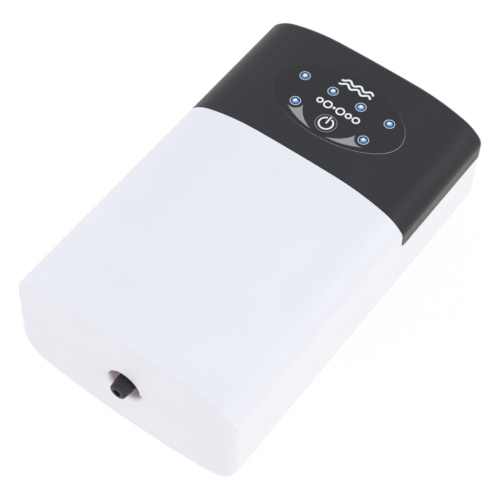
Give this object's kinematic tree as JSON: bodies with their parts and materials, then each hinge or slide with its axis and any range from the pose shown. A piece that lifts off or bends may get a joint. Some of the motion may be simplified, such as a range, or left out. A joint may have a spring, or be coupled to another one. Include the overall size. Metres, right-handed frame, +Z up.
{
  "type": "aquarium air pump",
  "caption": "Rechargeable aquarium air pump: slim rounded white box with a black rear control cover, indicator lights, power button and a rubber air nozzle recessed in the front.",
  "frame": {"origin": "middle of the bounding box on the ground under the rubber feet", "axes": "+Z up, +Y from the air nozzle towards the control cover, +X to the right seen from the nozzle end looking along +Y"},
  "size_m": [0.0846, 0.141, 0.0509],
  "materials": {
    "shell_white": "satin",
    "cover_black": "satin",
    "overlay_black": "satin",
    "button_black": "satin",
    "led_blue": "gloss",
    "bezel_silver": "polished",
    "rubber_black": "matte",
    "silicone": "satin",
    "board_green": "satin",
    "part_black": "matte",
    "switch_cream": "matte",
    "plug_white": "matte",
    "can_aluminium": "satin",
    "screw_steel": "satin",
    "nickel": "satin",
    "brass_pin": "polished",
    "cell_wrap": "satin",
    "foam_grey": "matte",
    "felt_white": "matte",
    "core_steel": "satin",
    "bobbin_plastic": "satin",
    "copper_wire": "satin",
    "frame_plastic": "satin",
    "arm_plastic": "satin",
    "magnet_nickel": "polished",
    "head_plastic": "satin",
    "lead_red": "satin",
    "lead_black": "satin",
    "lead_yellow": "satin"
  },
  "bodies": {
    "housing": {"upper_shell": "shell_white", "lower_shell": "shell_white", "rear_cap": "cover_black", "panel_overlay": "overlay_black", "led_1": "led_blue", "led_2": "led_blue", "led_3": "led_blue", "led_4": "led_blue", "led_5": "led_blue", "led_6": "led_blue", "led_bezels": "bezel_silver", "control_board": "board_green", "board_screws": "screw_steel", "tact_switch": "switch_cream", "driver_chip": "part_black", "storage_capacitor": "can_aluminium", "battery_plug": "plug_white", "coil_plug": "plug_white", "charge_jack": "part_black", "charge_jack_pin": "brass_pin", "battery_cell": "cell_wrap", "battery_tab_positive": "nickel", "battery_tab_negative": "nickel", "battery_foam": "foam_grey", "magnet_core": "core_steel", "coil_bobbin": "bobbin_plastic", "coil_winding": "copper_wire", "housing_screws": "screw_steel", "pump_frame": "frame_plastic", "frame_screws": "screw_steel", "core_screws": "screw_steel", "pivot_pin": "screw_steel", "diaphragm": "rubber_black", "diaphragm_ring": "head_plastic", "pump_head": "head_plastic", "valve_plate": "head_plastic", "head_gasket": "rubber_black", "head_cover": "head_plastic", "head_screws": "screw_steel", "outlet_nozzle": "rubber_black", "air_hose": "silicone", "battery_lead_positive": "lead_red", "battery_lead_negative": "lead_black", "coil_lead_1": "lead_yellow", "coil_lead_2": "lead_yellow", "jack_lead_positive": "lead_red", "jack_lead_negative": "lead_black", "rubber_feet": "rubber_black", "intake_felt": "felt_white"},
    "button": {"power_button": "button_black", "switch_plunger": "part_black"},
    "armature": {"swing_arm": "arm_plastic", "arm_magnets": "magnet_nickel", "diaphragm_screw": "screw_steel"},
    "inlet_valve": {"inlet_flap": "rubber_black"},
    "outlet_valve": {"outlet_flap": "rubber_black"}
  },
  "joints": [
    {"name": "button_press", "type": "slide", "parent": "housing", "child": "button", "axis": [0, 0, -1], "range_m": [0, 0.0006], "stiffness_N_per_m": 2500},
    {"name": "arm_swing", "type": "hinge", "parent": "housing", "child": "armature", "pos_m": [0, -0.03818, 0.0245], "axis": [0, 0, 1], "range_deg": [-2.5, 2.5], "stiffness_Nm_per_rad": 0.35, "deforming": ["diaphragm"]},
    {"name": "inlet_valve_lift", "type": "hinge", "parent": "housing", "child": "inlet_valve", "pos_m": [0.0214, -0.01767, 0.0277], "axis": [0, 1, 0], "range_deg": [0, 14], "stiffness_Nm_per_rad": 0.0002},
    {"name": "outlet_valve_lift", "type": "hinge", "parent": "housing", "child": "outlet_valve", "pos_m": [0.0246, -0.02867, 0.0277], "axis": [0, -1, 0], "range_deg": [0, 14], "stiffness_Nm_per_rad": 0.0002}
  ]
}
